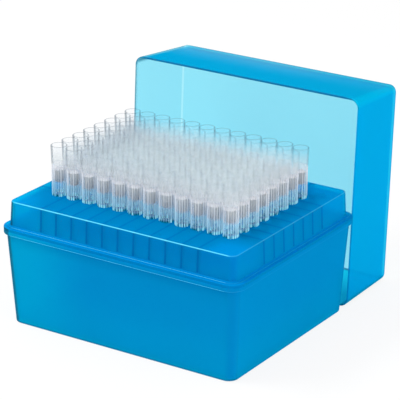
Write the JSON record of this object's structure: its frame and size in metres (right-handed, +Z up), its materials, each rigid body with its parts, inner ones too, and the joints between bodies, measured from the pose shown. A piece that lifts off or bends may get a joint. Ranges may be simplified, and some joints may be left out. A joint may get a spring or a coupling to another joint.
{
  "type": "pipette_tip_box",
  "caption": "Box of filtered pipette tips: deep translucent blue base, tray with clear ribbed tips standing in a grid, and the lift-off lid standing on edge behind it.",
  "frame": {"origin": "centre of the base's underside", "axes": "+X to the right along the base's long side, +Y to the back where the lid stands, +Z up"},
  "size_m": [0.1378, 0.1597, 0.1087],
  "materials": {
    "base_blue": "translucent moulded polypropylene, blue",
    "tray_blue": "translucent moulded polypropylene, blue",
    "lid_blue": "translucent moulded polypropylene, paler blue where the wall is seen singly",
    "tip_clear": "clear moulded polypropylene",
    "filter_white": "porous white polyethylene"
  },
  "bodies": {
    "root": {"base": "base_blue", "tray": "tray_blue", "lid": "lid_blue", "tip_h01": "tip_clear", "filter_h01": "filter_white", "tip_h02": "tip_clear", "filter_h02": "filter_white", "tip_h03": "tip_clear", "filter_h03": "filter_white", "tip_h04": "tip_clear", "filter_h04": "filter_white", "tip_h05": "tip_clear", "filter_h05": "filter_white", "tip_h06": "tip_clear", "filter_h06": "filter_white", "tip_h07": "tip_clear", "filter_h07": "filter_white", "tip_h08": "tip_clear", "filter_h08": "filter_white", "tip_h09": "tip_clear", "filter_h09": "filter_white", "tip_h10": "tip_clear", "filter_h10": "filter_white", "tip_h11": "tip_clear", "filter_h11": "filter_white", "tip_h12": "tip_clear", "filter_h12": "filter_white", "tip_g12": "tip_clear", "filter_g12": "filter_white", "tip_f12": "tip_clear", "filter_f12": "filter_white", "tip_e12": "tip_clear", "filter_e12": "filter_white", "tip_d12": "tip_clear", "filter_d12": "filter_white", "tip_c12": "tip_clear", "filter_c12": "filter_white", "tip_b12": "tip_clear", "filter_b12": "filter_white", "tip_a12": "tip_clear", "filter_a12": "filter_white"}
  },
  "joints": []
}
